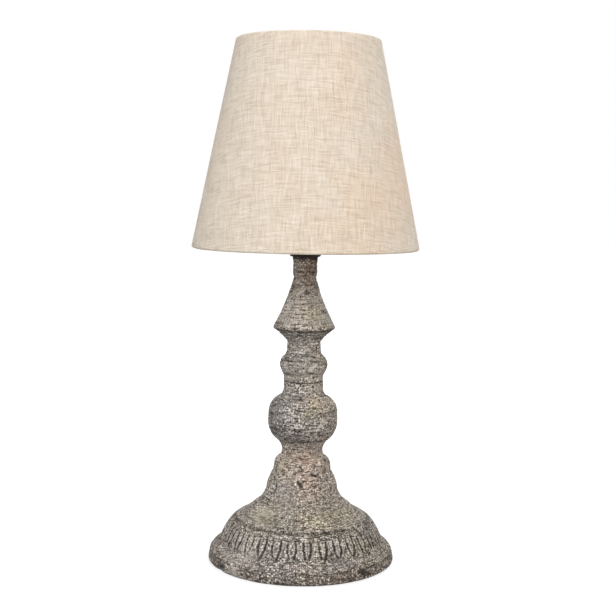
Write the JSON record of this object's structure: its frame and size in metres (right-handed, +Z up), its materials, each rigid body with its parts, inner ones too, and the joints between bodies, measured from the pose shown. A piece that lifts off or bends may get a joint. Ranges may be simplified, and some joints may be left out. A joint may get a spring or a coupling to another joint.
{
  "type": "table lamp",
  "caption": "Table lamp with a turned candlestick base in a weathered coat, a candle bulb in a black lampholder and a tapered linen shade held by a ring nut.",
  "frame": {"origin": "on the floor under the stem's axis, at the bottom of the felt", "axes": "+Z up along the stem, the cord inlet faces +Y at the back, front faces -Y"},
  "size_m": [0.21, 0.21, 0.4836],
  "materials": {
    "stone_coat": "rough weathered grey brown coat with pale specks",
    "fibreboard": "brown hardboard",
    "felt": "dark grey wool felt",
    "rubber": "matt black rubber",
    "zinc_steel": "zinc plated steel",
    "white_plastic": "white nylon",
    "black_plastic": "smooth black thermoplastic",
    "insert_ceramic": "white glazed steatite",
    "contact_brass": "bright brass",
    "white_wire": "white powder coat",
    "white_film": "white translucent film",
    "linen": "natural linen weave with slubs",
    "clear_glass": "clear blown glass",
    "bulb_metal": "satin nickel plated",
    "dark_glass": "dark vitrite",
    "filament_coat": "yellow phosphor coat"
  },
  "bodies": {
    "lamp_base": {"foot_casting": "stone_coat", "ball_casting": "stone_coat", "spool_casting": "stone_coat", "roof_casting": "stone_coat", "neck_collar": "stone_coat", "base_plate": "fibreboard", "felt_pad": "felt", "cable_grommet": "rubber", "threaded_tube": "zinc_steel", "tube_bush": "white_plastic", "bottom_washer": "zinc_steel", "lock_washer": "zinc_steel", "bottom_nut": "zinc_steel", "top_nut": "zinc_steel", "holder_cap": "black_plastic", "holder_shell": "black_plastic", "holder_insert": "insert_ceramic", "centre_contact": "contact_brass", "side_contact": "contact_brass", "terminal_screws": "contact_brass", "holder_grub_screw": "zinc_steel"},
    "shade": {"shade_fitter_ring": "white_wire", "shade_arms": "white_wire", "shade_bottom_ring": "white_wire", "shade_top_ring": "white_wire", "shade_liner": "white_film", "shade_cover": "linen"},
    "ring_nut": {"shade_ring_nut": "black_plastic"},
    "bulb": {"bulb_glass": "clear_glass", "bulb_cap": "bulb_metal", "bulb_insulator": "dark_glass", "bulb_contact": "bulb_metal", "bulb_stem": "clear_glass", "bulb_filaments": "filament_coat", "filament_leads": "zinc_steel"}
  },
  "joints": [
    {"name": "shade_turn", "type": "hinge", "parent": "lamp_base", "child": "shade", "pos_m": [0, 0, 0.3107], "axis": [0, 0, 1], "continuous": true},
    {"name": "ring_nut_unscrew", "type": "slide", "parent": "lamp_base", "child": "ring_nut", "axis": [0, 0, 1], "range_m": [0, 0.018]},
    {"name": "bulb_lift", "type": "slide", "parent": "lamp_base", "child": "bulb", "axis": [0, 0, 1], "range_m": [0, 0.175]}
  ]
}
